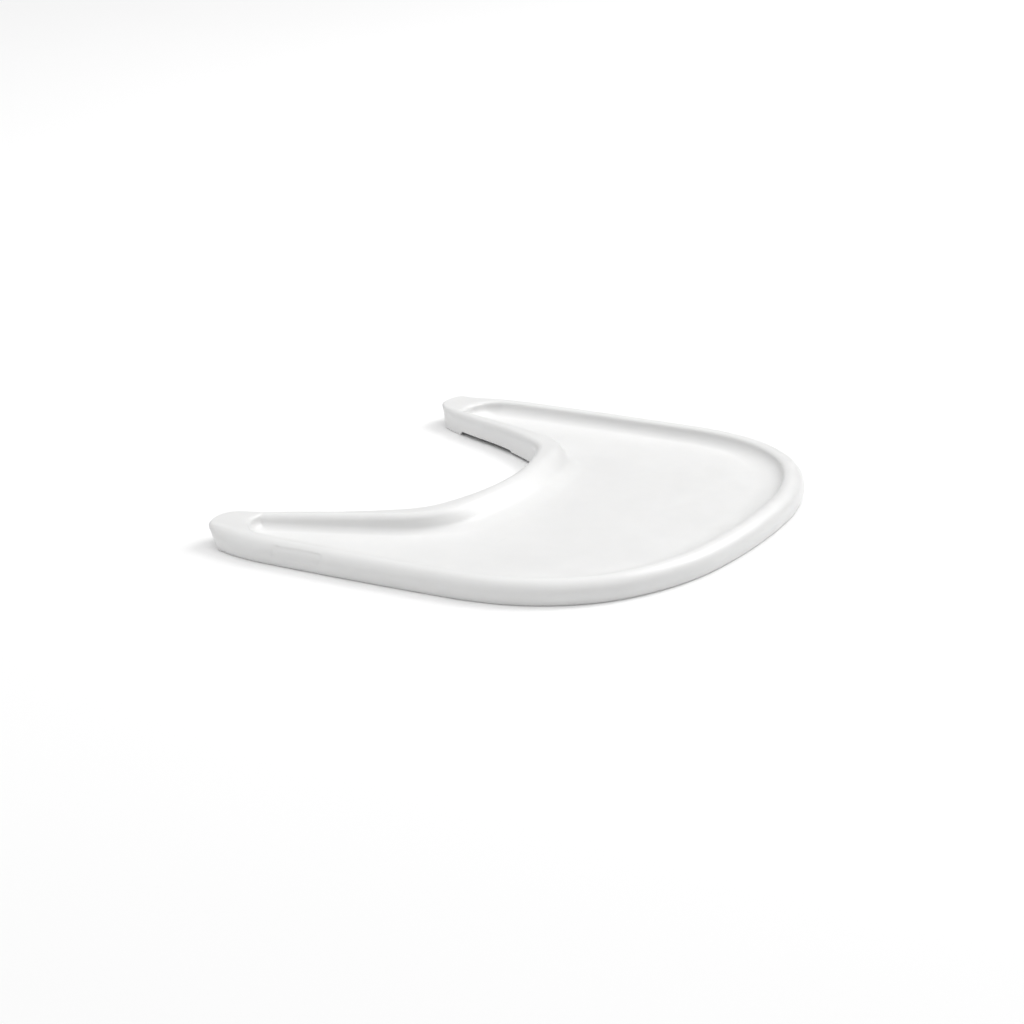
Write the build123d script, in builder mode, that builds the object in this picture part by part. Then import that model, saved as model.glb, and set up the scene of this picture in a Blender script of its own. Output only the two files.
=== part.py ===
"""Clip-on feeding tray of a baby high chair.

A horseshoe-shaped moulded tray with a food recess, a rounded rim, and a raised ridge round the belly
cut-out.  The hollow ridge drops over the chair's guard rail, and a sprung latch in each arm closes
under the rail.

Frame: millimetres, +Z up, X from arm to arm, front edge at -Y, arm tips at +Y.  The origin is the
middle of the resting plane.  "Left" is the -X arm.
"""
import math
import os

from build123d import *

# ---------------------------------------------------------------- driving dimensions
WALL = 2.6             # thickness of the moulding
RIM_Z = 20.0           # crest of the outer rim and top of the two end pads
RIM_ROUND = 10.0       # rounding of the rim's shoulder
RIDGE_ROUND = 7.5      # rounding of both sides of the ridge
RIDGE_Z = 25.0         # crest of the ridge, at the middle of the belly
FLOOR_Z = 9.0          # eating surface
RIM_BAND = 18.5        # from the outer edge to the wall of the food recess
COVE = 6.0             # rounding between the recess wall and the floor
RECESS_LIP = 3.5       # rounding between the recess wall and the rim's top

# Half outline as tangent arcs (radius, sweep in degrees), a left turn being positive: from the middle
# of the front edge, round the front corner, along the arm, round its tip, and back along the cut-out.
FRONT_Y = -201.0
FRONT_ARCS = [(652, 6.3), (241, 22.1), (139, 50.3), (203, 10.6), (3177, 3.1), (143, 22.3)]
TIP_ARCS = [(20, 57.1), (162, 3.0), (26, 64.4)]
CUTOUT_ARCS = [(355, 9.5), (292, -14.4), (54.7, -33.2)]

# Half outline of the ridge's foot, from the middle of the belly towards the arm's tip.
RIDGE_Y = 3.0
RIDGE_ARCS = [(306, 15.0), (88, 52.6), (1870, 4.1)]
RIDGE_SLOPE = 1.9      # degrees by which the crest falls towards the end pads
RIDGE_CREST_Y = RIDGE_Y + RIM_ROUND
RIDGE_END_Y = 164.0    # here the crest has sunk into the end pads
BACK_Y = 240.0         # a line safely behind the arm tips

# End pads: the recess stops at a line across each arm.
PAD_X, PAD_Y = 193.0, 167.0
PAD_ANGLE = -18.0      # degrees from the X axis
PAD_BLOCK = (120.0, 90.0)
TIP_UNDERCUT = 18.0    # degrees by which the end wall of each tip leans under
TIP_UNDERCUT_Z = 14.0

# Lower edge of the cut-out's skirt.
SKIRT = (-3.0, 3.6)    # a band along the cut-out's edge that holds the skirt
SKIRT_LIFT = 2.0       # gap under the skirt round the belly
NOTCH_LIFT = 3.5       # deeper gap along the arms, for the rail's brackets
NOTCH_Y = (98.0, 165.0)

# Rail channel under the ridge, and the rib that closes it on the arm's side.
RAIL_RIB = (0.4, 2.2)  # the rib's sides, measured inwards from the ridge's foot
RAIL_RIB_Y = (45.0, 160.0)
RIB_Z = 2.8            # lower edge of the ribs
FLOOR_ROOT_Z = FLOOR_Z - 1.0   # ribs and bosses end here, inside the floor
RIM_ROOT_Z = RIM_Z - 1.6       # or here, inside the rim's and the pads' top
STRIP_SIDES = (5.0, 13.0)   # sides of the soft strip, measured from the cut-out's edge
STRIP_Z = 17.8
STRIP_Y = (60.0, 125.0)
FRONT_STRIP_LENGTH = 90.0

# Latch frame: a point on the ridge's foot on the right arm, with U across the arm and V towards
# the tip.
LATCH_X, LATCH_Y = 153.9, 105.3
LATCH_TURN = -21.0     # U's angle from the X axis
PIVOT_U, PIVOT_V = 8.5, -36.0
PIN_R = 2.0
FIT = 0.05             # radial running clearance
PIN_Z = (0.9, 7.6)
LEVER_Z = (2.9, 6.1)
LEVER_U = (3.2, 13.7)
LEVER_END_V = 12.0
BOSS_R = 5.5
NOSE_U = -9.0          # how far the nose reaches under the rail
NOSE_V = (2.0, 12.0)
NOSE_LEAD = 2.2        # slope that lets the rail push the nose aside
TAB_Z = 0.6            # lower end of the finger tab
TAB_U, TAB_SIZE = 6.5, (3.0, 10.0)
TAB_CORNER = 1.0
WINDOW_U, WINDOW_V = (-4.0, 2.0), (-3.0, 17.0)   # opening in the rib for the nose
SLOT_U, SLOT_V = (3.6, 20.0), (-3.0, 16.0)       # opening in the arm cover for the finger tab

# Ribs under the main floor.
LONG_RIBS_X = (-110.0, -55.0, 0.0, 55.0, 110.0)
LONG_RIBS_Y = (-195.0, 45.0)
CROSS_RIBS_Y = (-130.0, -70.0)
LONG_RIB = 1.8

# Soft foot pushed into a socket under each end pad.
FOOT_X, FOOT_Y = 206.0, 178.0
FOOT_START_Y = 160.0
FOOT_INSET = 9.0       # from the tip's outline to the foot's sides
FOOT_PLATE = 3.0
STEM_R = 4.0
STEM_Z = 11.0
SOCKET_WALL = 1.8

# Arm covers and their screws.
COVER_Z = (0.7, 2.5)
COVER_GAP = 0.4
COVER_Y = (48.0, 158.0)
SCREW_R = 1.2
PILOT_R = 1.25
CLEAR_R = 1.4
HEAD_R = 2.4
SCREW_TOP_Z = 7.4
HOLE_END = 0.4         # free depth beyond a screw or a stem
SCREW_BOSS_R = 3.4
FLOOR_SCREWS = [(164.0, 56.0), (188.0, 150.0)]
RIM_SCREWS = [(222.0, 58.0), (222.0, 148.0)]
SCREW_PLACES = FLOOR_SCREWS + RIM_SCREWS

# Compression spring between the lever and a stop in the arm.
SPRING_R = 1.35
WIRE_R = 0.25
SPRING_TURNS = 7
SPRING_V = 4.0
SPRING_U = (14.0, 27.2)
STOP_SIZE = (2.4, 8.0)

# Blank badge panel, sunk in the left arm's shoulder.
BADGE_Y = 96.0
BADGE_SIZE = (50.0, 9.0)
BADGE_X, BADGE_Z = -230.6, 16.4
BADGE_DEPTH = 0.7


# ---------------------------------------------------------------- outlines
def heading_vector(degrees):
    return Vector(math.cos(math.radians(degrees)), math.sin(math.radians(degrees)))


def walk(start, arcs):
    """End point and heading of tangent arcs laid end to end from `start`, heading +X."""
    point, heading = Vector(*start), 0.0
    for radius, sweep in arcs:
        side = math.copysign(90, sweep)
        centre = point + heading_vector(heading + side) * radius
        heading += sweep
        point = centre - heading_vector(heading + side) * radius
    return point, heading


def closed_outline():
    """The half outline with the belly arc that brings it back to the centre line."""
    arcs = FRONT_ARCS + TIP_ARCS + CUTOUT_ARCS
    point, heading = walk((0, FRONT_Y), arcs)
    turn = heading - 180
    return arcs + [(point.X / math.sin(math.radians(turn)), -turn)]


OUTLINE_ARCS = closed_outline()
BELLY_Y = walk((0, FRONT_Y), OUTLINE_ARCS)[0].Y
EDGE_ARCS = [(radius, -sweep) for radius, sweep in OUTLINE_ARCS[:len(FRONT_ARCS + TIP_ARCS) - 1:-1]]


def arc_chain(start, arcs, grow):
    """Draw the arcs of `walk`, each moved outwards by `grow`; gives the end point and heading."""
    point, heading = Vector(*start), 0.0
    for radius, sweep in arcs:
        bent = radius + grow if sweep > 0 else radius - grow
        point = JernArc(point, heading_vector(heading), bent, sweep) @ 1
        heading += sweep
    return point, heading


def outline_face(inset):
    """The whole horseshoe, shrunk by `inset` all round."""
    with BuildSketch() as sketch:
        with BuildLine():
            arc_chain((0, FRONT_Y + inset), OUTLINE_ARCS, -inset)
            mirror(about=Plane.YZ)
        make_face()
    return sketch.sketch


def belly_side_face(start_y, arcs, grow):
    """The area on the belly's side of a chain of arcs, carried straight on past the arm tips."""
    with BuildSketch() as sketch:
        with BuildLine():
            point, heading = arc_chain((0, start_y - grow), arcs, grow)
            reach = (BACK_Y - point.Y) / math.sin(math.radians(heading))
            Polyline(point, point + heading_vector(heading) * reach, (0, BACK_Y))
            mirror(about=Plane.YZ)
        make_face()
    return sketch.sketch


def cutout_face(grow):
    """The belly cut-out, grown by `grow` into the tray."""
    return belly_side_face(BELLY_Y, EDGE_ARCS, grow)


def band_face(inner, outer):
    """A band along the cut-out's edge, between two distances from it."""
    return cutout_face(outer) - cutout_face(inner)


def ridge_band(near, far):
    """A band inside the ridge's foot line, between two distances from it."""
    return belly_side_face(RIDGE_Y, RIDGE_ARCS, -near) - belly_side_face(RIDGE_Y, RIDGE_ARCS, -far)


def strip_of(face, y_range, half_width=BACK_Y):
    """The part of a face between two Y values, on both arms."""
    low, high = y_range
    with BuildSketch() as sketch:
        add(face)
        with Locations((0, (low + high) / 2)):
            Rectangle(2 * half_width, high - low, mode=Mode.INTERSECT)
    return sketch.sketch


# ---------------------------------------------------------------- the moulding's two surfaces
def ridge_body(inset):
    """The ridge as a full solid, its crest sloping down towards the arm tips."""
    top = RIDGE_Z - inset
    slope = math.radians(RIDGE_SLOPE)
    crest = Plane(origin=(0, RIDGE_CREST_Y, top), z_dir=(0, math.sin(slope), math.cos(slope)))
    with BuildPart() as ridge:
        with BuildSketch():
            add(outline_face(inset))
            add(belly_side_face(RIDGE_Y, RIDGE_ARCS, -inset), mode=Mode.INTERSECT)
            Rectangle(2 * BACK_Y, 2 * RIDGE_END_Y, mode=Mode.INTERSECT)
        extrude(amount=top)
        fillet(ridge.faces().sort_by(Axis.Z)[-1].edges().filter_by(GeomType.CIRCLE), RIDGE_ROUND - inset)
        split(bisect_by=crest, keep=Keep.BOTTOM)
    return ridge.part


def recess_body(inset):
    """What the food recess takes out of the tray, grown by `inset`."""
    with BuildPart() as recess:
        with BuildSketch(Plane.XY.offset(FLOOR_Z - inset)):
            add(outline_face(RIM_BAND - inset))
            for side in (-1, 1):
                edge = Vector(0, PAD_BLOCK[1] / 2 + inset).rotate(Axis.Z, side * PAD_ANGLE)
                with Locations(Location((side * PAD_X + edge.X, PAD_Y + edge.Y), side * PAD_ANGLE)):
                    Rectangle(*PAD_BLOCK, mode=Mode.SUBTRACT)
        extrude(amount=RIDGE_Z)
    return recess.part


def tray_body(inset):
    """The tray as a full solid, with its surfaces moved inwards by `inset`."""
    floor_z = FLOOR_Z - inset
    lean = math.tan(math.radians(TIP_UNDERCUT))
    tip_y = outline_face(inset).bounding_box().max.Y
    with BuildPart() as body:
        extrude(outline_face(inset), amount=RIM_Z - inset)
        fillet(body.faces().sort_by(Axis.Z)[-1].edges(), RIM_ROUND - inset)
        with BuildSketch(Plane.YZ):
            with BuildLine():
                Polyline((tip_y - lean * TIP_UNDERCUT_Z, 0), (tip_y, TIP_UNDERCUT_Z), (BACK_Y, TIP_UNDERCUT_Z),
                         (BACK_Y, 0), close=True)
            make_face()
        extrude(amount=BACK_Y, both=True, mode=Mode.SUBTRACT)
        add(recess_body(inset), mode=Mode.SUBTRACT)
        fillet(body.edges().filter_by_position(Axis.Z, floor_z - FIT, floor_z + FIT), COVE + inset)
        fillet(body.faces().sort_by(Axis.Z)[-1].inner_wires()[0].edges(), RECESS_LIP - inset)
        add(ridge_body(inset))
    return body.part


# ---------------------------------------------------------------- placing and writing
def latch_plane(z):
    """Plane at height z whose X runs across the right arm and whose Y runs towards its tip."""
    return Plane(origin=(LATCH_X, LATCH_Y, z), x_dir=heading_vector(LATCH_TURN), z_dir=(0, 0, 1))


def write(part, name):
    part.label = name
    export_step(part, f"parts/{name}.step")


def write_pair(part, name):
    """Write a piece of the right arm and its mirror image in the left arm."""
    write(part, f"right_{name}")
    write(mirror(part, about=Plane.YZ), f"left_{name}")


def both_arms(places):
    return [(side * x, y) for side in (-1, 1) for x, y in places]


os.makedirs("parts", exist_ok=True)
upper_surface = tray_body(0.0)
lower_surface = tray_body(WALL)

# ---------------------------------------------------------------- tray shell
with BuildPart() as stiffeners:
    with BuildSketch(Plane.XY.offset(RIB_Z)):
        # ribs under the main floor
        with Locations(*[(x, sum(LONG_RIBS_Y) / 2) for x in LONG_RIBS_X]):
            Rectangle(LONG_RIB, LONG_RIBS_Y[1] - LONG_RIBS_Y[0])
        with Locations(*[(0, y) for y in CROSS_RIBS_Y]):
            Rectangle(2 * BACK_Y, LONG_RIB)
        add(outline_face(WALL / 2), mode=Mode.INTERSECT)
        add(belly_side_face(RIDGE_Y, RIDGE_ARCS, -WALL / 2), mode=Mode.SUBTRACT)
        # ribs that close the rail channel along both arms
        add(strip_of(ridge_band(*RAIL_RIB), RAIL_RIB_Y))
    extrude(amount=FLOOR_ROOT_Z - RIB_Z)
    with BuildSketch(Plane.XY.offset(COVER_Z[1])):
        with Locations(*both_arms(FLOOR_SCREWS)):
            Circle(SCREW_BOSS_R)
    extrude(amount=FLOOR_ROOT_Z - COVER_Z[1])
    with BuildSketch(Plane.XY.offset(COVER_Z[1])):
        with Locations(*both_arms(RIM_SCREWS)):
            Circle(SCREW_BOSS_R)
    extrude(amount=RIM_ROOT_Z - COVER_Z[1])
    with BuildSketch(Plane.XY.offset(FOOT_PLATE + FIT)):
        with Locations(*both_arms([(FOOT_X, FOOT_Y)])):
            Circle(STEM_R + SOCKET_WALL)
    extrude(amount=RIM_ROOT_Z - FOOT_PLATE)
    # stops for the latch springs
    for mirrored in (False, True):
        with BuildPart(mode=Mode.PRIVATE) as stop:
            with BuildSketch(latch_plane(COVER_Z[1])):
                with Locations((SPRING_U[1] + FIT + STOP_SIZE[0] / 2, SPRING_V)):
                    Rectangle(*STOP_SIZE)
            extrude(amount=FLOOR_ROOT_Z - COVER_Z[1])
        add(mirror(stop.part, about=Plane.YZ) if mirrored else stop.part)

with BuildPart() as tray_shell:
    add(upper_surface)
    add(lower_surface, mode=Mode.SUBTRACT)
    add(stiffeners.part)
    # lower edge of the skirt round the cut-out, with the deeper notch along each arm
    with BuildSketch():
        add(band_face(*SKIRT))
        with Locations((0, NOTCH_Y[1] - BACK_Y / 2)):
            Rectangle(2 * BACK_Y, BACK_Y, mode=Mode.INTERSECT)
    extrude(amount=SKIRT_LIFT, mode=Mode.SUBTRACT)
    with BuildSketch():
        add(strip_of(band_face(*SKIRT), NOTCH_Y))
    extrude(amount=NOTCH_LIFT, mode=Mode.SUBTRACT)
    # pilot holes, foot sockets and pivot sockets
    with BuildSketch():
        with Locations(*both_arms(SCREW_PLACES)):
            Circle(PILOT_R)
    extrude(amount=SCREW_TOP_Z + HOLE_END, mode=Mode.SUBTRACT)
    with BuildSketch():
        with Locations(*both_arms([(FOOT_X, FOOT_Y)])):
            Circle(STEM_R + FIT)
    extrude(amount=STEM_Z + HOLE_END, mode=Mode.SUBTRACT)
    for mirrored in (False, True):
        with BuildPart(mode=Mode.PRIVATE) as openings:
            with BuildSketch(latch_plane(0)):
                with Locations((PIVOT_U, PIVOT_V)):
                    Circle(PIN_R + FIT)
            extrude(amount=PIN_Z[1] + FIT)
            # window for the latch's nose
            with BuildSketch(latch_plane(0)):
                with Locations((sum(WINDOW_U) / 2, sum(WINDOW_V) / 2)):
                    Rectangle(WINDOW_U[1] - WINDOW_U[0], WINDOW_V[1] - WINDOW_V[0])
            extrude(amount=FLOOR_Z - WALL)
        add(mirror(openings.part, about=Plane.YZ) if mirrored else openings.part, mode=Mode.SUBTRACT)
    # blank badge panel
    with BuildSketch(Plane(origin=(BADGE_X, BADGE_Y, BADGE_Z), x_dir=(0, -1, 0), z_dir=(-1, 0, 1))):
        RectangleRounded(*BADGE_SIZE, BADGE_SIZE[1] / 4)
    extrude(amount=RIM_ROUND, mode=Mode.SUBTRACT)
write(tray_shell.part, "tray_shell")

# ---------------------------------------------------------------- arm covers
with BuildPart() as arm_cover:
    with BuildSketch(Plane.XY.offset(COVER_Z[0])):
        add(outline_face(WALL + COVER_GAP))
        add(belly_side_face(RIDGE_Y, RIDGE_ARCS, COVER_GAP), mode=Mode.SUBTRACT)
        with Locations((BACK_Y / 2, sum(COVER_Y) / 2)):
            Rectangle(BACK_Y, COVER_Y[1] - COVER_Y[0], mode=Mode.INTERSECT)
    extrude(amount=COVER_Z[1] - COVER_Z[0])
    with BuildSketch(latch_plane(0)):
        with Locations((sum(SLOT_U) / 2, sum(SLOT_V) / 2)):
            RectangleRounded(SLOT_U[1] - SLOT_U[0], SLOT_V[1] - SLOT_V[0], TAB_CORNER)
        with Locations((PIVOT_U, PIVOT_V)):
            Circle(PIN_R + FIT)
    extrude(amount=COVER_Z[1], mode=Mode.SUBTRACT)
    sink = HEAD_R - CLEAR_R + FIT
    with Locations(*[(x, y, COVER_Z[0] + sink / 2) for x, y in SCREW_PLACES]):
        Cone(HEAD_R + FIT, CLEAR_R, sink, mode=Mode.SUBTRACT)
    with Locations(*[(x, y, COVER_Z[1] / 2) for x, y in SCREW_PLACES]):
        Cylinder(CLEAR_R, COVER_Z[1], mode=Mode.SUBTRACT)
write_pair(arm_cover.part, "arm_cover")

with BuildPart() as cover_screws:
    head = HEAD_R - SCREW_R
    head_z = COVER_Z[0] + FIT
    with Locations(*[(x, y, head_z + head / 2) for x, y in both_arms(SCREW_PLACES)]):
        Cone(HEAD_R - FIT, SCREW_R, head)
    with Locations(*[(x, y, (head_z + SCREW_TOP_Z) / 2) for x, y in both_arms(SCREW_PLACES)]):
        Cylinder(SCREW_R, SCREW_TOP_Z - head_z)
    with Locations(*[(x, y, head_z) for x, y in both_arms(SCREW_PLACES)]):
        Box(HEAD_R, SCREW_R / 2, SCREW_R, mode=Mode.SUBTRACT)
        Box(SCREW_R / 2, HEAD_R, SCREW_R, mode=Mode.SUBTRACT)
write(cover_screws.part, "cover_screws")

# ---------------------------------------------------------------- latch
with BuildPart() as latch_lever:
    with BuildSketch(latch_plane(LEVER_Z[0])):
        with Locations((PIVOT_U, PIVOT_V)):
            Circle(BOSS_R)
        with Locations((sum(LEVER_U) / 2, (PIVOT_V + LEVER_END_V) / 2)):
            Rectangle(LEVER_U[1] - LEVER_U[0], LEVER_END_V - PIVOT_V)
        with Locations(((NOSE_U + LEVER_U[0]) / 2, sum(NOSE_V) / 2)):
            Rectangle(LEVER_U[0] - NOSE_U, NOSE_V[1] - NOSE_V[0])
        with Locations((PIVOT_U, PIVOT_V)):
            Circle(PIN_R + FIT, mode=Mode.SUBTRACT)
    extrude(amount=LEVER_Z[1] - LEVER_Z[0])
    across = Axis((LATCH_X, LATCH_Y, 0), heading_vector(LATCH_TURN))
    nose_edge = latch_lever.edges().group_by(Axis.Z)[0].sort_by(across)[0]
    chamfer(nose_edge, NOSE_LEAD)
    with BuildSketch(latch_plane(TAB_Z)):
        with Locations((TAB_U, sum(NOSE_V) / 2)):
            RectangleRounded(*TAB_SIZE, TAB_CORNER)
    extrude(amount=LEVER_Z[0] - TAB_Z)
write_pair(latch_lever.part, "latch_lever")

with BuildPart() as pivot_pin:
    with BuildSketch(latch_plane(PIN_Z[0])):
        with Locations((PIVOT_U, PIVOT_V)):
            Circle(PIN_R)
    extrude(amount=PIN_Z[1] - PIN_Z[0])
    chamfer(pivot_pin.edges(), WIRE_R)
write_pair(pivot_pin.part, "pivot_pin")

with BuildPart() as latch_spring:
    spring_origin = latch_plane(sum(LEVER_Z) / 2).from_local_coords(Vector(SPRING_U[0] + WIRE_R, SPRING_V, 0))
    length = SPRING_U[1] - SPRING_U[0] - 2 * WIRE_R
    with BuildLine() as coil:
        Helix(length / SPRING_TURNS, length, SPRING_R, spring_origin, heading_vector(LATCH_TURN))
    with BuildSketch(Plane(origin=coil.line @ 0, z_dir=coil.line % 0)):
        Circle(WIRE_R)
    sweep()
write_pair(latch_spring.part, "latch_spring")

# ---------------------------------------------------------------- soft pieces
channel_space = tray_body(WALL + FIT)   # the room under the ridge, less a little clearance
with BuildPart() as rail_strip:
    with BuildSketch(Plane.XY.offset(STRIP_Z)):
        add(strip_of(band_face(*STRIP_SIDES), STRIP_Y))
        with Locations((BACK_Y / 2, 0)):
            Rectangle(BACK_Y, 2 * BACK_Y, mode=Mode.INTERSECT)
    extrude(amount=RIDGE_Z)
    add(channel_space, mode=Mode.INTERSECT)
write_pair(rail_strip.part, "rail_strip")

with BuildPart() as front_rail_strip:
    with BuildSketch(Plane.XY.offset(STRIP_Z)):
        add(band_face(*STRIP_SIDES))
        Rectangle(FRONT_STRIP_LENGTH, 2 * STRIP_Y[0], mode=Mode.INTERSECT)
    extrude(amount=RIDGE_Z)
    add(channel_space, mode=Mode.INTERSECT)
write(front_rail_strip.part, "front_rail_strip")

with BuildPart() as tip_foot:
    with BuildSketch():
        add(outline_face(FOOT_INSET))
        add(belly_side_face(RIDGE_Y, RIDGE_ARCS, COVER_GAP), mode=Mode.SUBTRACT)
        with Locations((BACK_Y / 2, FOOT_START_Y + BACK_Y / 2)):
            Rectangle(BACK_Y, BACK_Y, mode=Mode.INTERSECT)
    extrude(amount=FOOT_PLATE)
    with Locations((FOOT_X, FOOT_Y, (FOOT_PLATE + STEM_Z) / 2)):
        Cylinder(STEM_R, STEM_Z - FOOT_PLATE)
write_pair(tip_foot.part, "tip_foot")
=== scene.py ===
"""Looks of a clip-on feeding tray of a baby high chair.

Frame: metres, +Z up, X from arm to arm, front edge at -Y, arm tips at +Y, resting plane at z = 0.
The tray's moulding is one skin taken from a signed distance field written in millimetres; the inner
pieces keep their CAD shapes and get materials here.
"""
import math

import bpy
import numpy as np
from mathutils import Matrix, Vector


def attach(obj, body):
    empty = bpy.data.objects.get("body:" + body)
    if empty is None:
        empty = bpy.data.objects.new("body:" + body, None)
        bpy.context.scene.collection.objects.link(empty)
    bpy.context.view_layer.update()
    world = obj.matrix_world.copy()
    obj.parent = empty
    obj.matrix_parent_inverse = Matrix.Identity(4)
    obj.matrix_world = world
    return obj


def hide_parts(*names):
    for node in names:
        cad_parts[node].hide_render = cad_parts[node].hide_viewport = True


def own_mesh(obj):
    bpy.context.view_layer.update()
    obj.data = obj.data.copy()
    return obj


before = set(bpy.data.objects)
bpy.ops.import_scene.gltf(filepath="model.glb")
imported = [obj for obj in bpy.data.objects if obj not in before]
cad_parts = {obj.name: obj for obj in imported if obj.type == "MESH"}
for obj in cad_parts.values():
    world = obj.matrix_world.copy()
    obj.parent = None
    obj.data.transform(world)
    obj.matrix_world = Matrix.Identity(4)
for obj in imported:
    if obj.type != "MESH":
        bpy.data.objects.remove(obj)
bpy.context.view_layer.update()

MM = 0.001

# ---------------------------------------------------------------- driving dimensions (mm)
WALL = 2.6
FLOOR_Z = 9.0
RIM_Z = 20.0
RIDGE_Z = 25.0
BEYOND = 300.0           # further out than any point of the tray
SKIN_INSET = 0.06        # keeps the skin inside the CAD box
LOWEST = 0.02            # lowest point of any skin, just above the resting plane

# Half outline as tangent arcs (radius, sweep in degrees), a left turn being positive.
FRONT_Y = -201.0
FRONT_ARCS = [(652, 6.3), (241, 22.1), (139, 50.3), (203, 10.6), (3177, 3.1), (143, 24.2)]
TIP_ARCS = [(10, 50.7), (251, 3.0), (26, 68.9)]
CUTOUT_ARCS = [(355, 9.5), (292, -14.4), (54.7, -33.2)]
RIDGE_Y = 3.0
RIDGE_ARCS = [(306, 15.0), (88, 52.6), (1870, 4.1)]
STRAIGHT = (1e5, 0.06)   # a nearly straight run that carries a chain on past the arm tips

# Rounding of the top edge, as half axes (across, down): outer rim, arm tip, edge of the cut-out.
RIM_ROUND = (13.5, 12.0)
TIP_ROUND = (3.0, 2.5)
EDGE_ROUND = (7.5, 7.5)
ROUND_BLEND = 16.0       # length along the outline over which one rounding turns into the next

# Food recess, with a pad at the end of each arm.
RIM_BAND = 18.5          # from the outer edge to the recess wall
RECESS_LIP = 3.5
COVE = 8.5               # height of the cove between the recess wall and the floor
SIDE_COVE_WIDTH = 12.5
FRONT_COVE_WIDTH = 24.0  # the cove is this wide along the front
FRONT_COVE_Y = (-150.0, -60.0)
PAD_POINT = (191.0, 168.5)   # a point on the recess's end wall
PAD_ANGLE = -26.0
PAD_CORNER = 9.0

# Outer wall.
TIP_LEAN = 23.0          # degrees by which the end wall of each tip leans under
TIP_LEAN_Z = 19.0
TIP_LEAN_RUN = (-12.0, 6.0)  # the lean sets in over this run, measured from the tip's tight corner
FOOT_TURN = 2.2          # the outer wall's lower edge turns under by this much
FOOT_TURN_Z = 9.0

# Ridge round the cut-out.
RIDGE_SLOPE = 1.9        # degrees by which the crest falls towards the end pads
RIDGE_CREST_Y = 13.0
BELLY_PITCH = 0.66       # rise over run of the ridge's side round the belly
ARM_PITCH = 2.1          # and along the arms
PITCH_Y = (10.0, 60.0)   # where the one turns into the other
FOOT_COVE = 5.0          # fillet between the ridge's side and the floor
BELLY_CREST_ROUND = 9.0
ARM_CREST_ROUND = 5.0

# Skirt round the cut-out, whose lower edge is lifted off the resting plane.
SKIRT = 4.5
SKIRT_LIFT = 2.0
NOTCH_LIFT = 3.5
NOTCH_Y = (98.0, 165.0)
NOTCH_EASE = 1.0         # half the run over which the lift changes
SKIRT_OVERRUN = 5.0      # the skirt starts this far before the end of the tip
SKIRT_EDGE = 0.5

# Ribs under the floor and the rib that closes the rail channel.
RIB_Z = 2.8
RIB_ROOT_Z = 8.0
RIB = 1.8
RIB_FILLET = 0.6
ROOT = 1.0               # ribs and bosses end this far inside the skin
LONG_RIBS_X = (0.0, 55.0, 110.0)
LONG_RIBS_Y = (-195.0, 45.0)
CROSS_RIBS_Y = (-130.0, -70.0)
RAIL_RIB_MIDDLE = 1.3
RAIL_RIB_Y = (45.0, 160.0)

# Latch, in a frame (u across the arm, v along it) placed and turned on the right arm.
LATCH_X, LATCH_Y = 153.9, 105.3
LATCH_TURN = -21.0
PIVOT = (8.5, -36.0)
PIVOT_R, PIVOT_TOP = 2.05, 7.65
WINDOW = ((-4.0, 2.0), (-3.0, 17.0), 6.4)
STOP = ((27.25, 29.65), (0.0, 8.0))

# Screw bosses and the socket of each tip's foot.
COVER_TOP = 2.5
FLOOR_SCREWS = [(164.0, 56.0), (188.0, 150.0)]
RIM_SCREWS = [(222.0, 58.0), (222.0, 148.0)]
BOSS_R, PILOT_R, PILOT_TOP = 3.4, 1.25, 7.8
FOOT = (206.0, 178.0)
SOCKET_R, STEM_R, STEM_TOP = 5.8, 4.05, 11.4
SOCKET_Z = 3.05

# Blank panel sunk in the left arm's shoulder: its middle along Y and up, and half its size.
PANEL = (101.0, 12.0)
PANEL_HALF = (23.0, 4.0)
PANEL_CORNER = 2.0
PANEL_DEPTH = 0.6
PANEL_EDGE = 0.3
PANEL_LIMIT_X = -200.0   # it is only cut outside this

# Soft strips in the rail channel.
STRIP_SIDES = (5.2, 14.2)    # measured inward from the cut-out's edge
STRIP_Y = (60.0, 125.0)
STRIP_SPLIT_Y = 55.0     # the front strip lies in front of this, the arm strips behind it
FRONT_STRIP = 44.0       # half its length
STRIP_Z = 17.9
STRIP_GAP = 0.1
STRIP_CORNER = 2.5
STRIP_EDGE = 0.3

# Soft feet: a plate under each tip with a grooved sole, and the plug that holds it.
PLATE_GAP = 0.6
PLATE_Y = 160.4
PLATE_TOP = 3.0
PLATE_CORNER = 1.5
PLATE_EDGE = 0.4
GROOVE_PITCH, GROOVE_HALF, GROOVE_DEPTH, GROOVE_LAND = 4.0, 0.7, 0.9, 2.0
GROOVE_EDGE = 0.2
PLUG_R, PLUG_TOP = 3.98, 10.9

# Boxes in which each skin is looked for, and the cells they are cut into.
FOOT_BOX = ((170.0, 156.0, -0.9), (235.0, 203.0, 12.5))
FOOT_CELL = (0.7, 0.7, 0.45)
SHELL_BOX = ((-238.5, -203.5, -1.3), (238.5, 203.5, 26.5))
SHELL_CELL = (1.2, 1.2, 1.0)
FRONT_STRIP_BOX = ((-48.0, 10.0, 16.0), (48.0, 50.0, 24.0))
ARM_STRIP_BOX = ((85.0, 55.0, 16.0), (160.0, 130.0, 24.0))
STRIP_CELL = (0.9, 0.9, 0.45)


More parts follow.
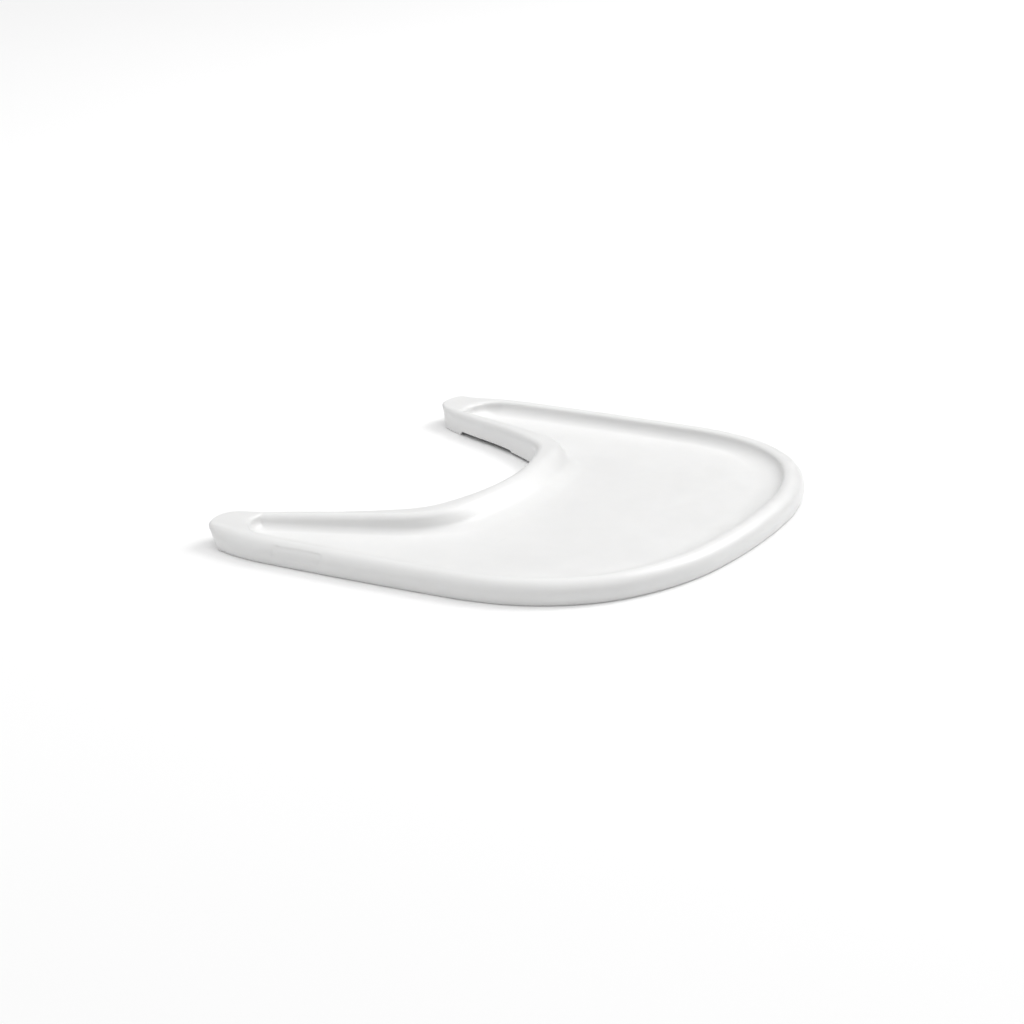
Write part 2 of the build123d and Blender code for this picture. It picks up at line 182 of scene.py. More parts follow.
# ---------------------------------------------------------------- plan curves
def make_chain(start, arcs):
    """Tangent arcs from `start`, first heading +X.

    Each becomes (centre, radius, side, middle angle, half sweep, run at its start).
    """
    point, heading, run, chain = np.array(start, float), 0.0, 0.0, []
    for radius, sweep in arcs:
        side = 1.0 if sweep > 0 else -1.0
        turn = math.radians(sweep)
        centre = point + side * radius * np.array((-math.sin(heading), math.cos(heading)))
        first = heading - side * math.pi / 2
        chain.append((centre, radius, side, first + turn / 2, abs(turn) / 2, run))
        heading += turn
        run += radius * abs(turn)
        point = centre + radius * np.array((math.cos(first + turn), math.sin(first + turn)))
    return chain, point, heading, run


def chain_distance(chain, x, y):
    """Distance to the chain, positive on its left, and the run along the chain of the nearest point."""
    best = np.full(x.shape, 1e9)
    signed = np.zeros(x.shape)
    run_at = np.zeros(x.shape)
    for centre, radius, side, middle, half, run in chain:
        dx, dy = x - centre[0], y - centre[1]
        angle = (np.arctan2(dy, dx) - middle + math.pi) % (2 * math.pi) - math.pi
        held = np.clip(angle, -half, half)
        away = np.hypot(dx - radius * np.cos(middle + held), dy - radius * np.sin(middle + held))
        near = away < best
        best = np.where(near, away, best)
        inward = side * (radius - np.hypot(dx, dy))
        signed = np.where(near, np.where(inward >= 0, away, -away), signed)
        run_at = np.where(near, run + radius * (half + side * held), run_at)
    return signed, run_at


outer_chain, _, _, OUTER_RUN = make_chain((0, FRONT_Y), FRONT_ARCS + TIP_ARCS)
_, edge_end, edge_heading, _ = make_chain((0, FRONT_Y), FRONT_ARCS + TIP_ARCS + CUTOUT_ARCS)
belly_turn = edge_heading - math.pi
BELLY_ARC = (edge_end[0] / math.sin(belly_turn), -math.degrees(belly_turn))
outline_chain, _, _, _ = make_chain((0, FRONT_Y), FRONT_ARCS + TIP_ARCS + CUTOUT_ARCS + [BELLY_ARC])
ridge_chain, _, _, _ = make_chain((0, RIDGE_Y), RIDGE_ARCS + [STRAIGHT])
TIP_RUN = make_chain((0, FRONT_Y), FRONT_ARCS)[3]


# ---------------------------------------------------------------- field operations
def step_up(low, high, value):
    """Smooth step from 0 at `low` to 1 at `high`."""
    t = np.clip((value - low) / (high - low), 0, 1)
    return t * t * (3 - 2 * t)


def both(a, b, r=0.0):
    """Intersection of two fields, its edge rounded to radius r."""
    if r == 0.0:
        return np.maximum(a, b)
    return np.minimum(np.maximum(a, b), -r) + np.hypot(np.maximum(a + r, 0), np.maximum(b + r, 0))


def either(a, b, r):
    """Union of two fields with a fillet of radius r."""
    return -both(-a, -b, r)


def rounded_edge(depth, down, across, drop):
    """A vertical wall `depth` inside and a top `down` below, joined by a quarter ellipse."""
    qx = (across - depth) / across
    qz = (drop - down) / drop
    h = np.hypot(qx, qz)
    bent = (h - 1) * h / np.maximum(np.hypot(qx / across, qz / drop), 1e-6)
    return np.where((qx > 0) & (qz > 0), bent, np.maximum(-depth, -down))


# ---------------------------------------------------------------- the tray's field
def plan(x, y):
    """Everything the field needs to know about a place seen from above."""
    ax = np.abs(x)
    inside, run = chain_distance(outline_chain, ax, y)
    outer = np.copysign(chain_distance(outer_chain, ax, y)[0], inside)
    ridge, _ = chain_distance(ridge_chain, ax, y)
    turn = math.radians(LATCH_TURN)
    dx, dy = ax - LATCH_X, y - LATCH_Y
    u = dx * math.cos(turn) + dy * math.sin(turn)
    v = dy * math.cos(turn) - dx * math.sin(turn)
    to_tip = step_up(TIP_RUN - ROUND_BLEND, TIP_RUN + ROUND_BLEND, run)
    to_edge = step_up(OUTER_RUN - ROUND_BLEND, OUTER_RUN + ROUND_BLEND, run)
    rounding = [a + (b - a) * to_tip + (c - b) * to_edge
                for a, b, c in zip(RIM_ROUND, TIP_ROUND, EDGE_ROUND)]
    start, full = TIP_RUN + TIP_LEAN_RUN[0], TIP_RUN + TIP_LEAN_RUN[1]
    lean = step_up(start, full, run) * (1 - step_up(OUTER_RUN - ROUND_BLEND, OUTER_RUN, run))
    return dict(x=x, y=y, ax=ax, inside=inside, run=run, outer=outer, ridge=ridge, u=u, v=v,
                across=rounding[0], drop=rounding[1], lean=lean, to_edge=to_edge)


def wall_depth(p, z, turn):
    """How far a place is inside the outer wall, which leans at the tips and turns under by `turn`."""
    lean = p["lean"] * math.tan(math.radians(TIP_LEAN)) * np.maximum(TIP_LEAN_Z - z, 0)
    turned = turn * (np.maximum(FOOT_TURN_Z - z, 0) / FOOT_TURN_Z) ** 2
    return p["inside"] - lean - turned


def moulding(p, z):
    """The tray as a full solid."""
    x, y = p["ax"], p["y"]
    depth = wall_depth(p, z, FOOT_TURN * (1 - p["to_edge"]))
    block = rounded_edge(depth, RIM_Z - z, p["across"], p["drop"])
    # the food recess, with its end wall across the arm
    angle = math.radians(PAD_ANGLE)
    pad = (y - PAD_POINT[1]) * math.cos(angle) - (x - PAD_POINT[0]) * math.sin(angle)
    recess = both(RIM_BAND - p["outer"], pad, PAD_CORNER)
    front = 1 - step_up(*FRONT_COVE_Y, y)
    width = SIDE_COVE_WIDTH + (FRONT_COVE_WIDTH - SIDE_COVE_WIDTH) * front
    hollow = both(recess * COVE / width, FLOOR_Z - z, COVE)
    block = both(block, -hollow, RECESS_LIP)
    # the ridge round the cut-out
    crest = np.minimum(RIDGE_Z, RIDGE_Z - (y - RIDGE_CREST_Y) * math.tan(math.radians(RIDGE_SLOPE)))
    on_arm = step_up(*PITCH_Y, y)
    pitch = BELLY_PITCH + (ARM_PITCH - BELLY_PITCH) * on_arm
    side = (z - FLOOR_Z - pitch * p["ridge"]) / np.hypot(1, pitch)
    side = either(z - FLOOR_Z, side, FOOT_COVE)
    top = both(-depth, z - crest, EDGE_ROUND[0])
    arm_ridge = both(top, side, ARM_CREST_ROUND)
    belly_ridge = both(top, side, BELLY_CREST_ROUND)
    ridge = belly_ridge + (arm_ridge - belly_ridge) * on_arm
    return np.minimum(block, ridge) + SKIN_INSET


def shell_field(p, z):
    """Signed distance, roughly, of the tray shell: below zero inside the plastic."""
    x, y, u, v = p["ax"], p["y"], p["u"], p["v"]
    solid = moulding(p, z)
    shell = np.maximum(solid, -(solid + WALL))
    under_skin = solid + ROOT

    def bar(middle_a, half_a, low_b, high_b, a, b, low, high):
        sides = np.maximum(np.abs(a - middle_a) - half_a, np.maximum(low_b - b, b - high_b))
        return np.maximum(np.maximum(sides, np.maximum(low - z, z - high)), under_skin)

    def post(middle, radius, low, high):
        round_side = np.hypot(x - middle[0], y - middle[1]) - radius
        return np.maximum(np.maximum(round_side, low - z), np.maximum(z - high, under_skin))

    ribs = [bar(rib_x, RIB / 2, *LONG_RIBS_Y, x, y, RIB_Z, RIB_ROOT_Z) for rib_x in LONG_RIBS_X]
    ribs += [bar(rib_y, RIB / 2, -BEYOND, BEYOND, y, x, RIB_Z, RIB_ROOT_Z) for rib_y in CROSS_RIBS_Y]
    plate_ribs = ribs[0]
    for rib in ribs[1:]:
        plate_ribs = np.minimum(plate_ribs, rib)
    plate_ribs = np.maximum(plate_ribs, p["ridge"] - RAIL_RIB_MIDDLE)
    rail_rib = bar(RAIL_RIB_MIDDLE, RIB / 2, *RAIL_RIB_Y, p["ridge"], y, RIB_Z, RIB_ROOT_Z)
    added = np.minimum(plate_ribs, rail_rib)
    for place in FLOOR_SCREWS:
        added = np.minimum(added, post(place, BOSS_R, COVER_TOP, RIB_ROOT_Z))
    for place in RIM_SCREWS:
        added = np.minimum(added, post(place, BOSS_R, COVER_TOP, RIM_Z))
    added = np.minimum(added, post(FOOT, SOCKET_R, SOCKET_Z, RIM_Z))
    (u0, u1), (v0, v1) = STOP
    added = np.minimum(added, bar((u0 + u1) / 2, (u1 - u0) / 2, v0, v1, u, v, COVER_TOP, RIB_ROOT_Z))
    shell = either(shell, added, RIB_FILLET)
    # holes
    for place in FLOOR_SCREWS + RIM_SCREWS:
        hole = np.maximum(np.hypot(x - place[0], y - place[1]) - PILOT_R, z - PILOT_TOP)
        shell = np.maximum(shell, -hole)
    hole = np.maximum(np.hypot(x - FOOT[0], y - FOOT[1]) - STEM_R, z - STEM_TOP)
    shell = np.maximum(shell, -hole)
    hole = np.maximum(np.hypot(u - PIVOT[0], v - PIVOT[1]) - PIVOT_R, z - PIVOT_TOP)
    shell = np.maximum(shell, -hole)
    (u0, u1), (v0, v1), top = WINDOW
    window = np.maximum(np.maximum(u0 - u, u - u1), np.maximum(np.maximum(v0 - v, v - v1), z - top))
    shell = np.maximum(shell, -window)
    # blank panel in the left arm's shoulder
    panel = both(np.abs(y - PANEL[0]) - PANEL_HALF[0], np.abs(z - PANEL[1]) - PANEL_HALF[1], PANEL_CORNER)
    panel = np.maximum(np.maximum(panel, p["x"] - PANEL_LIMIT_X), -(solid + PANEL_DEPTH))
    shell = both(shell, -panel, PANEL_EDGE)
    # lower edge, lifted round the cut-out
    in_notch = step_up(NOTCH_Y[0] - NOTCH_EASE, NOTCH_Y[0] + NOTCH_EASE, y)
    past_notch = step_up(NOTCH_Y[1] - NOTCH_EASE, NOTCH_Y[1] + NOTCH_EASE, y)
    lift = SKIRT_LIFT + (NOTCH_LIFT - SKIRT_LIFT) * in_notch - NOTCH_LIFT * past_notch
    lift = np.where((p["run"] > OUTER_RUN - SKIRT_OVERRUN) & (p["inside"] < SKIRT), lift, 0.0)
    return both(shell, lift - z, SKIRT_EDGE)


def strip_field(p, z):
    """Soft strip lying against the roof of the rail channel."""
    y = p["y"]
    sides = np.abs(p["inside"] - sum(STRIP_SIDES) / 2) - (STRIP_SIDES[1] - STRIP_SIDES[0]) / 2
    arm_ends = np.maximum(STRIP_Y[0] - y, y - STRIP_Y[1])
    ends = np.where(y > STRIP_SPLIT_Y, arm_ends, p["ax"] - FRONT_STRIP)
    flat = both(sides, ends, STRIP_CORNER)
    return both(flat, both(STRIP_Z - z, moulding(p, z) + WALL + STRIP_GAP, STRIP_EDGE), STRIP_EDGE)


def foot_field(p, z):
    """Soft foot under an arm tip, with a grooved sole and a stem that goes up into its socket."""
    x, y = p["ax"], p["y"]
    rim = WALL + PLATE_GAP - wall_depth(p, z, FOOT_TURN)
    plate = both(rim, both(PLATE_Y - y, p["ridge"] + PLATE_GAP, PLATE_CORNER), PLATE_CORNER)
    plate = both(plate, both(z - PLATE_TOP, LOWEST - z, PLATE_EDGE), PLATE_EDGE)
    groove_sides = np.abs((y - PLATE_Y) % GROOVE_PITCH - GROOVE_PITCH / 2) - GROOVE_HALF
    groove = both(groove_sides, z - GROOVE_DEPTH, GROOVE_EDGE)
    groove = np.maximum(groove, plate + GROOVE_LAND)
    plate = both(plate, -groove, GROOVE_EDGE)
    stem = both(np.hypot(x - FOOT[0], y - FOOT[1]) - PLUG_R, z - PLUG_TOP, PLATE_EDGE)
    return either(plate, np.maximum(stem, PLATE_TOP / 2 - z), PLATE_EDGE)


# ---------------------------------------------------------------- skin of the field
SLOPE_REACH = 0.02
SETTLE_ROUNDS = 3
LONGEST_STEP = 0.5
FLATTEST = 0.05          # lowest squared slope that a step is divided by


def skin(field, low, high, cell):
    """Surface-net mesh of the field in a box."""
    axes = [np.arange(a, b + c, c) for a, b, c in zip(low, high, cell)]
    gx, gy = np.meshgrid(axes[0], axes[1], indexing="ij")
    ground = plan(gx, gy)
    values = np.stack([field(ground, np.full(gx.shape, z)) for z in axes[2]], axis=2)
    shape = np.array(values.shape)
    inside = values < 0
    # one vertex in each cell that the surface crosses, at the mean of its edge crossings
    cells = tuple(shape - 1)
    total = np.zeros(cells + (3,))
    count = np.zeros(cells)
    corners = [(i, j, k) for i in (0, 1) for j in (0, 1) for k in (0, 1)]

    def corner(array, at):
        return array[at[0]:at[0] + cells[0], at[1]:at[1] + cells[1], at[2]:at[2] + cells[2]]

    for a in corners:
        for axis in range(3):
            if a[axis] == 1:
                continue
            b = tuple(a[i] + (i == axis) for i in range(3))
            fa, fb = corner(values, a), corner(values, b)
            cut = (fa < 0) != (fb < 0)
            t = np.where(cut, fa / np.where(cut, fa - fb, 1), 0)
            for i in range(3):
                total[..., i] += np.where(cut, a[i] + (t if i == axis else 0), 0)
            count += cut
    used = count > 0
    index = np.full(cells, -1)
    index[used] = np.arange(used.sum())
    where = np.argwhere(used)
    local = total[used] / count[used][:, None]
    points = np.array(low) + (where + local) * np.array(cell)
    quads = []
    for axis in range(3):
        near = [slice(None)] * 3
        far = [slice(None)] * 3
        near[axis], far[axis] = slice(0, -1), slice(1, None)
        va, vb = inside[tuple(near)], inside[tuple(far)]
        crossing = np.argwhere(va != vb)
        others = [i for i in range(3) if i != axis]
        ok = np.all(crossing[:, others] > 0, axis=1) & np.all(crossing[:, others] < shape[others] - 1, axis=1)
        crossing = crossing[ok]
        flip = ~va[tuple(crossing.T)]
        ring = []
        for da, db in ((-1, -1), (0, -1), (0, 0), (-1, 0)):
            at = crossing.copy()
            at[:, others[0]] += da
            at[:, others[1]] += db
            ring.append(index[tuple(at.T)])
        ring = np.stack(ring, axis=1)
        if axis == 1:
            flip = ~flip
        ring[flip] = ring[flip][:, ::-1]
        quads.append(ring)
    return points, np.concatenate(quads)


def gradient(field, points):
    """Slope of the field at each point, by central differences."""
    reach = SLOPE_REACH
    slopes = []
    for axis in range(3):
        step = np.zeros(3)
        step[axis] = reach
        ahead, behind = points + step, points - step
        slopes.append((field(plan(ahead[:, 0], ahead[:, 1]), ahead[:, 2])
                       - field(plan(behind[:, 0], behind[:, 1]), behind[:, 2])) / (2 * reach))
    return np.stack(slopes, axis=1)


def settle(field, points):
    """Newton steps that carry the vertices on to the surface."""
    for _ in range(SETTLE_ROUNDS):
        value = field(plan(points[:, 0], points[:, 1]), points[:, 2])
        slope = gradient(field, points)
        size = np.maximum((slope ** 2).sum(axis=1), FLATTEST)
        move = -value[:, None] * slope / size[:, None]
        length = np.linalg.norm(move, axis=1, keepdims=True)
        points = points + move * np.minimum(1, LONGEST_STEP / np.maximum(length, 1e-9))
    return points


def build_skin(name, field, low, high, cell):
    """A smooth closed object for the part of the field inside a box."""
    points, quads = skin(field, low, high, cell)
    points = settle(field, points)
    points[:, 2] = np.maximum(points[:, 2], LOWEST)
    mesh = bpy.data.meshes.new(name)
    mesh.vertices.add(len(points))
    mesh.vertices.foreach_set("co", (points * MM).ravel())
    mesh.loops.add(quads.size)
    mesh.loops.foreach_set("vertex_index", quads.ravel().astype(np.int32))
    mesh.polygons.add(len(quads))
    mesh.polygons.foreach_set("loop_start", np.arange(0, quads.size, 4, dtype=np.int32))
    mesh.polygons.foreach_set("use_smooth", np.ones(len(quads), bool))
    mesh.update()
    mesh.validate()
    obj = bpy.data.objects.new(name, mesh)
    bpy.context.scene.collection.objects.link(obj)
    return obj


# ---------------------------------------------------------------- latch springs
SPRING_U = (14.05, 27.15)
SPRING_V, SPRING_Z = 4.0, 4.5
COIL_R, WIRE_R = 1.35, 0.25
TURNS, END_TURNS = 7, 0.75
STEPS_PER_TURN, WIRE_SIDES = 28, 10


def latch_point(u, v, z, side):
    """A place in the latch's frame, in the row frame; `side` is 1 on the right arm, -1 on the left."""
    turn = math.radians(LATCH_TURN)
    x = LATCH_X + u * math.cos(turn) - v * math.sin(turn)
    y = LATCH_Y + u * math.sin(turn) + v * math.cos(turn)
    return np.array((side * x, y, z))


def build_spring(name, side):
    """A coil with closed end turns, its axis across the arm."""
    turn = math.radians(LATCH_TURN)
    axis = np.array((side * math.cos(turn), math.sin(turn), 0.0))
    across = np.array((-side * math.sin(turn), math.cos(turn), 0.0))
    up = np.array((0.0, 0.0, 1.0))
    start = latch_point(SPRING_U[0] + WIRE_R, SPRING_V, SPRING_Z, side)
    length = SPRING_U[1] - SPRING_U[0] - 2 * WIRE_R
    total = TURNS + 2 * END_TURNS
    steps, ring = int(total * STEPS_PER_TURN), WIRE_SIDES
    closed = 2 * WIRE_R * END_TURNS
    verts, faces = [], []
    for i in range(steps + 1):
        t = total * i / steps
        if t < END_TURNS:
            along = closed * t / END_TURNS
        elif t > total - END_TURNS:
            along = length - closed * (total - t) / END_TURNS
        else:
            along = closed + (length - 2 * closed) * (t - END_TURNS) / TURNS
        angle = 2 * math.pi * t
        out = math.cos(angle) * across + math.sin(angle) * up
        centre = start + axis * along + out * COIL_R
        for j in range(ring):
            b = 2 * math.pi * j / ring
            verts.append(tuple((centre + WIRE_R * (math.cos(b) * out + math.sin(b) * axis)) * MM))
    for i in range(steps):
        for j in range(ring):
            k = (j + 1) % ring
            faces.append((i * ring + j, i * ring + k, (i + 1) * ring + k, (i + 1) * ring + j))
    faces.append(tuple(reversed(range(ring))))
    faces.append(tuple(range(steps * ring, (steps + 1) * ring)))
    if side > 0:         # the right coil is a mirror image, so its faces turn the other way
        faces = [face[::-1] for face in faces]
    mesh = bpy.data.meshes.new(name)
    mesh.from_pydata(verts, [], faces)
    mesh.polygons.foreach_set("use_smooth", np.ones(len(faces), bool))
    obj = bpy.data.objects.new(name, mesh)
    bpy.context.scene.collection.objects.link(obj)
    return obj, axis


# ---------------------------------------------------------------- materials
PLASTIC_IOR = 1.49
SCUFF_DARKENING = 0.05


def new_material(name):
    """A material with nodes; gives it, its nodes, its links and its shader."""
    material = bpy.data.materials.new(name)
    material.use_nodes = True
    nodes = material.node_tree.nodes
    return material, nodes, material.node_tree.links, nodes["Principled BSDF"]


def noise(nodes, links, coordinates, scale, detail=3.0, roughness=0.5):
    """Noise between 0 and 1 in object space."""
    node = nodes.new("ShaderNodeTexNoise")
    node.inputs["Scale"].default_value = scale
    node.inputs["Detail"].default_value = detail
    node.inputs["Roughness"].default_value = roughness
    links.new(coordinates, node.inputs["Vector"])
    return node.outputs["Fac"]


def ramp(nodes, links, source, low, high, first, last):
    """The source's range low to high, stretched to first to last."""
    node = nodes.new("ShaderNodeMapRange")
    node.inputs["From Min"].default_value = low
    node.inputs["From Max"].default_value = high
    node.inputs["To Min"].default_value = first
    node.inputs["To Max"].default_value = last
    links.new(source, node.inputs["Value"])
    return node.outputs["Result"]


def colour_mix(nodes, links, factor, first, last):
    """A mix of two colours."""
    node = nodes.new("ShaderNodeMix")
    node.data_type = "RGBA"
    links.new(factor, node.inputs["Factor"])
    node.inputs["A"].default_value = (*first, 1)
    node.inputs["B"].default_value = (*last, 1)
    return [o for o in node.outputs if o.type == "RGBA"][0]


def math_node(nodes, links, operation, a, b):
    """A sum, product or the like of two values, each a socket or a number."""
    node = nodes.new("ShaderNodeMath")
    node.operation = operation
    for socket, value in zip(node.inputs, (a, b)):
        if hasattr(value, "links"):
            links.new(value, socket)
        else:
            socket.default_value = value
    return node.outputs[0]


def bump(nodes, links, height, distance, strength, under=None):
    """A normal bent by a height, on top of the normal `under` if there is one."""
    node = nodes.new("ShaderNodeBump")
    node.inputs["Strength"].default_value = strength
    node.inputs["Distance"].default_value = distance
    links.new(height, node.inputs["Height"])
    if under is not None:
        links.new(under, node.inputs["Normal"])
    return node.outputs["Normal"]


def plastic(name, light, dark, roughness, grain, grain_depth, subsurface=0.0):
    """A moulded plastic: slow colour drift, a fine moulded grain, and faint scuffs in scattered patches."""
    material, nodes, links, shader = new_material(name)
    place = nodes.new("ShaderNodeTexCoord").outputs["Object"]
    drift = noise(nodes, links, place, 14.0, 2.0)
    blotch = noise(nodes, links, place, 90.0, 4.0)
    mixed = math_node(nodes, links, "ADD", math_node(nodes, links, "MULTIPLY", drift, 0.7),
                      math_node(nodes, links, "MULTIPLY", blotch, 0.3))
    shade = ramp(nodes, links, mixed, 0.35, 0.65, 0.0, 1.0)
    colour = colour_mix(nodes, links, shade, light, dark)
    # fine hair scratches, long across X and Y
    scratch = None
    for turn in (0.5, 1.9):
        mapping = nodes.new("ShaderNodeMapping")
        mapping.inputs["Rotation"].default_value = (0, 0, turn)
        mapping.inputs["Scale"].default_value = (25, 900, 40)
        links.new(place, mapping.inputs["Vector"])
        lines = noise(nodes, links, mapping.outputs["Vector"], 1.0, 2.0)
        fine = ramp(nodes, links, lines, 0.70, 0.76, 0.0, 1.0)
        scratch = fine if scratch is None else math_node(nodes, links, "MAXIMUM", scratch, fine)
    patches = ramp(nodes, links, noise(nodes, links, place, 22.0, 3.0), 0.5, 0.62, 0.0, 1.0)
    scuff = math_node(nodes, links, "MULTIPLY", scratch, patches)
    worn = tuple(c * (1 - SCUFF_DARKENING) for c in dark)
    # the scuffs sit on top of the drift
    base = nodes.new("ShaderNodeMix")
    base.data_type = "RGBA"
    links.new(math_node(nodes, links, "MULTIPLY", scuff, 0.5), base.inputs["Factor"])
    links.new(colour, base.inputs["A"])
    base.inputs["B"].default_value = (*worn, 1)
    links.new([o for o in base.outputs if o.type == "RGBA"][0], shader.inputs["Base Color"])
    rough = ramp(nodes, links, noise(nodes, links, place, 60.0, 4.0), 0.3, 0.7,
                 roughness - 0.05, roughness + 0.05)
    rough = math_node(nodes, links, "ADD", rough, math_node(nodes, links, "MULTIPLY", scuff, 0.15))
    links.new(rough, shader.inputs["Roughness"])
    pits = noise(nodes, links, place, grain, 2.0)
    normal = bump(nodes, links, pits, grain_depth, 0.35)
    links.new(bump(nodes, links, scuff, 0.00002, 0.3, normal), shader.inputs["Normal"])
    shader.inputs["IOR"].default_value = PLASTIC_IOR
    if subsurface:
        shader.inputs["Subsurface Weight"].default_value = subsurface
        shader.inputs["Subsurface Radius"].default_value = (0.004, 0.0038, 0.0035)
        shader.inputs["Subsurface Scale"].default_value = 0.5
    return material


def steel(name, light, dark, roughness, lines_scale):
    """Drawn or plated steel with fine lines and darker handling marks."""
    material, nodes, links, shader = new_material(name)
    place = nodes.new("ShaderNodeTexCoord").outputs["Object"]
    marks = ramp(nodes, links, noise(nodes, links, place, 700.0, 4.0), 0.4, 0.7, 0.0, 1.0)
    links.new(colour_mix(nodes, links, marks, light, dark), shader.inputs["Base Color"])
    mapping = nodes.new("ShaderNodeMapping")
    mapping.inputs["Scale"].default_value = lines_scale
    links.new(place, mapping.inputs["Vector"])
    lines = noise(nodes, links, mapping.outputs["Vector"], 1.0, 3.0)
    rough = ramp(nodes, links, lines, 0.3, 0.7, roughness - 0.08, roughness + 0.1)
    links.new(rough, shader.inputs["Roughness"])
    links.new(bump(nodes, links, lines, 0.00002, 0.3), shader.inputs["Normal"])
    shader.inputs["Metallic"].default_value = 1.0
    return material


def rubber(name, light, dark):
    """Matt elastomer with a fine pitted skin and a little dust."""
    material, nodes, links, shader = new_material(name)
    place = nodes.new("ShaderNodeTexCoord").outputs["Object"]
    dust = ramp(nodes, links, noise(nodes, links, place, 130.0, 5.0, 0.6), 0.42, 0.68, 0.0, 1.0)
    links.new(colour_mix(nodes, links, dust, dark, light), shader.inputs["Base Color"])
    links.new(ramp(nodes, links, dust, 0.0, 1.0, 0.62, 0.8), shader.inputs["Roughness"])
    pits = nodes.new("ShaderNodeTexVoronoi")
    pits.inputs["Scale"].default_value = 1600.0
    links.new(place, pits.inputs["Vector"])
    links.new(bump(nodes, links, pits.outputs["Distance"], 0.00006, 0.4), shader.inputs["Normal"])
    shader.inputs["Specular IOR Level"].default_value = 0.35
    return material


shell_white = plastic("white_moulding", (0.87, 0.87, 0.865), (0.845, 0.845, 0.84), 0.36, 1500.0, 0.00003,
                      subsurface=0.08)
cover_white = plastic("cover_moulding", (0.80, 0.80, 0.79), (0.76, 0.76, 0.75), 0.55, 1100.0, 0.00006)
latch_grey = plastic("latch_moulding", (0.42, 0.43, 0.44), (0.36, 0.37, 0.38), 0.48, 1300.0, 0.00005)
plated = steel("plated_screws", (0.66, 0.66, 0.68), (0.48, 0.48, 0.49), 0.32, (900, 900, 4000))
ground_pin = steel("ground_pins", (0.68, 0.68, 0.70), (0.55, 0.55, 0.56), 0.22, (400, 400, 6000))
wire = steel("spring_wire", (0.52, 0.52, 0.54), (0.34, 0.34, 0.35), 0.34, (1200, 1200, 1200))
soft_grey = rubber("soft_grey", (0.46, 0.47, 0.48), (0.34, 0.35, 0.36))


def paint(name, material):
    """Gives a CAD node that is kept its material."""
    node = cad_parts[name]
    if not node.data.materials:
        node.data.materials.append(material)
    for i in range(len(node.material_slots)):
        node.material_slots[i].link = "OBJECT"
        node.material_slots[i].material = material


for side_name in ("left", "right"):
    paint(f"{side_name}_arm_cover", cover_white)
    paint(f"{side_name}_latch_lever", latch_grey)
    paint(f"{side_name}_pivot_pin", ground_pin)
paint("cover_screws", plated)

# ---------------------------------------------------------------- pieces
def mirrored(box):
    """The same box on the left arm."""
    (x0, y0, z0), (x1, y1, z1) = box
    return (-x1, y0, z0), (-x0, y1, z1)


shell = build_skin("tray_moulding", shell_field, *SHELL_BOX, SHELL_CELL)
shell.data.materials.append(shell_white)
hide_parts("tray_shell")
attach(shell, "tray")

strip_boxes = {"front": FRONT_STRIP_BOX, "right": ARM_STRIP_BOX, "left": mirrored(ARM_STRIP_BOX)}
for side_name, box in strip_boxes.items():
    strip = build_skin(f"{side_name}_soft_strip", strip_field, *box, STRIP_CELL)
    strip.data.materials.append(soft_grey)
    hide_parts(f"{side_name}_rail_strip")
    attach(strip, "tray")

for side_name, box in (("right", FOOT_BOX), ("left", mirrored(FOOT_BOX))):
    foot = build_skin(f"{side_name}_soft_foot", foot_field, *box, FOOT_CELL)
    foot.data.materials.append(soft_grey)
    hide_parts(f"{side_name}_tip_foot")
    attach(foot, "tray")

for side_name, side in (("left", -1), ("right", 1)):
    spring, spring_axis = build_spring(f"{side_name}_spring_coil", side)
    spring.data.materials.append(wire)
    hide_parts(f"{side_name}_latch_spring")
    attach(spring, "tray")
    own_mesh(spring)

# ---------------------------------------------------------------- floor
FLOOR_SIZE = 14.0
FLOOR_DROP = 0.0001      # keeps the floor clear of the soft feet
FLOOR_GLOW = 0.02
floor_mesh = bpy.data.meshes.new("studio_floor")
half = FLOOR_SIZE / 2
low = -FLOOR_DROP
floor_mesh.from_pydata([(-half, -half, low), (half, -half, low), (half, half, low), (-half, half, low)], [],
                       [(0, 1, 2, 3)])
floor = bpy.data.objects.new("studio_floor", floor_mesh)
bpy.context.scene.collection.objects.link(floor)
floor_white, nodes, links, shader = new_material("studio_white")
place = nodes.new("ShaderNodeTexCoord").outputs["Object"]
cloud = noise(nodes, links, place, 3.0)
floor_colour = colour_mix(nodes, links, cloud, (0.93, 0.93, 0.93), (0.92, 0.92, 0.92))
links.new(floor_colour, shader.inputs["Base Color"])
shader.inputs["Roughness"].default_value = 0.9
shader.inputs["Specular IOR Level"].default_value = 0.1
shader.inputs["Emission Color"].default_value = (1, 1, 1, 1)
shader.inputs["Emission Strength"].default_value = FLOOR_GLOW
floor_mesh.materials.append(floor_white)

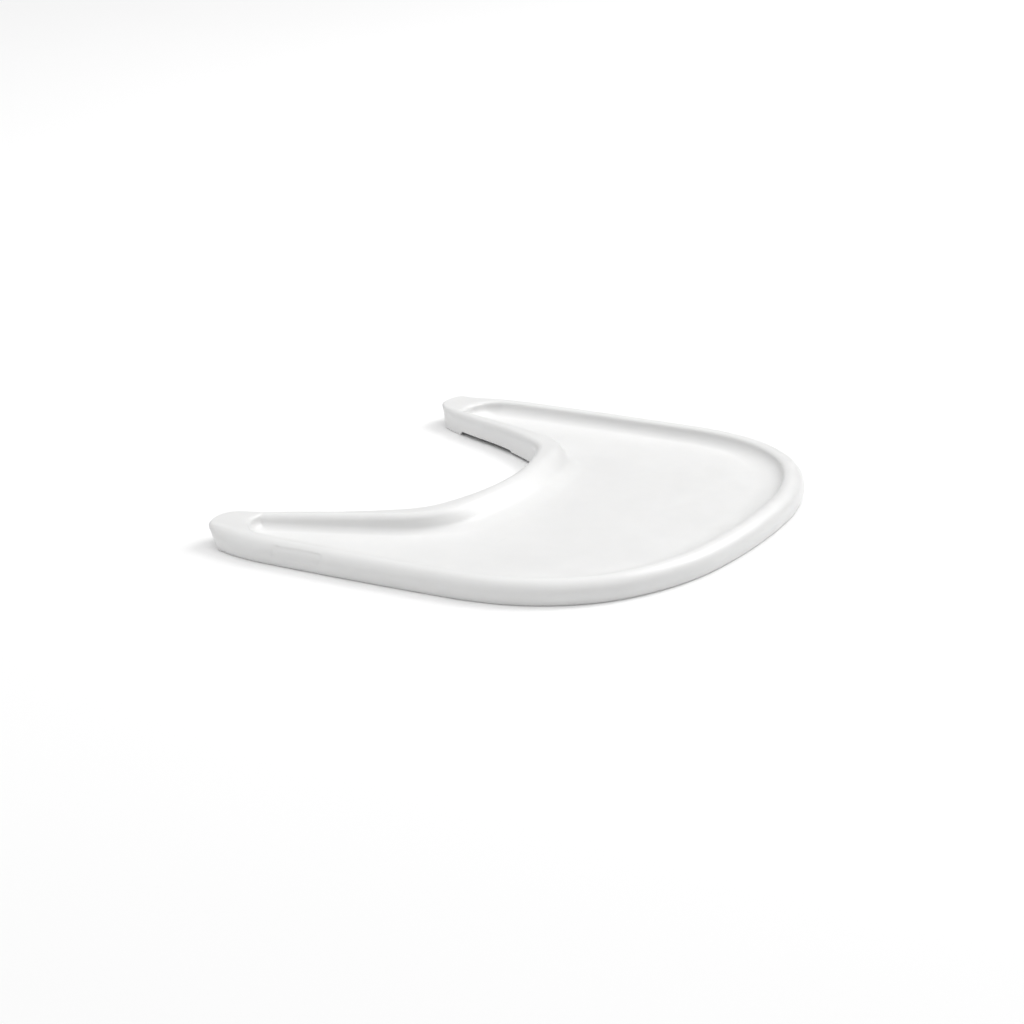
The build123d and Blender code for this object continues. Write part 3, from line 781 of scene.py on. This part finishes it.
# ---------------------------------------------------------------- light
SKY = 1.66               # strength overhead, falling to nothing at the horizon
SKY_POWER = 2.0
KEY_POWER, FILL_POWER = 48.0, 5.0
LIGHT_SIZE = 1.8
world = bpy.context.scene.world or bpy.data.worlds.new("studio_world")
bpy.context.scene.world = world
world.use_nodes = True
background = world.node_tree.nodes["Background"]
background.inputs["Color"].default_value = (1, 1, 1, 1)
sky_nodes, sky_links = world.node_tree.nodes, world.node_tree.links
direction = sky_nodes.new("ShaderNodeTexCoord").outputs["Generated"]
height = sky_nodes.new("ShaderNodeSeparateXYZ")
sky_links.new(direction, height.inputs[0])
level = ramp(sky_nodes, sky_links, height.outputs["Z"], 0.0, 1.0, 0.0, 1.0)
overhead = math_node(sky_nodes, sky_links, "POWER", level, SKY_POWER)
sky_links.new(math_node(sky_nodes, sky_links, "MULTIPLY", overhead, SKY), background.inputs["Strength"])


def area_light(name, place, power):
    """A round lamp aimed at the middle of the tray."""
    data = bpy.data.lights.new(name, "AREA")
    data.shape = "DISK"
    data.size = LIGHT_SIZE
    data.energy = power
    light = bpy.data.objects.new(name, data)
    bpy.context.scene.collection.objects.link(light)
    aim = -Vector(place)
    light.matrix_world = Matrix.Translation(place) @ aim.to_track_quat("-Z", "Y").to_matrix().to_4x4()


area_light("key", (2.2, -1.1, 2.2), KEY_POWER)
area_light("fill", (-1.6, 1.9, 1.3), FILL_POWER)

bpy.context.scene.view_settings.view_transform = "Standard"
bpy.context.scene.view_settings.look = "None"

# ---------------------------------------------------------------- camera
CAMERA_TURN = math.radians(-61.9)
CAMERA_HEIGHT = math.radians(18.1)
CAMERA_DISTANCE = 2.8
CAMERA_TARGET = Vector((-0.0178, 0.0195, 0.0))
LENS = 117.05
FARTHEST = 50.0
level_share = math.cos(CAMERA_HEIGHT)
back = Vector((math.sin(CAMERA_TURN) * level_share, -math.cos(CAMERA_TURN) * level_share,
               math.sin(CAMERA_HEIGHT)))
right = Vector((math.cos(CAMERA_TURN), math.sin(CAMERA_TURN), 0.0))
up = back.cross(right)
camera_data = bpy.data.cameras.new("camera")
camera_data.lens = LENS
camera_data.clip_end = FARTHEST
camera = bpy.data.objects.new("camera", camera_data)
bpy.context.scene.collection.objects.link(camera)
turned = Matrix((right, up, back)).transposed().to_4x4()
camera.matrix_world = Matrix.Translation(CAMERA_TARGET + back * CAMERA_DISTANCE) @ turned
bpy.context.scene.camera = camera
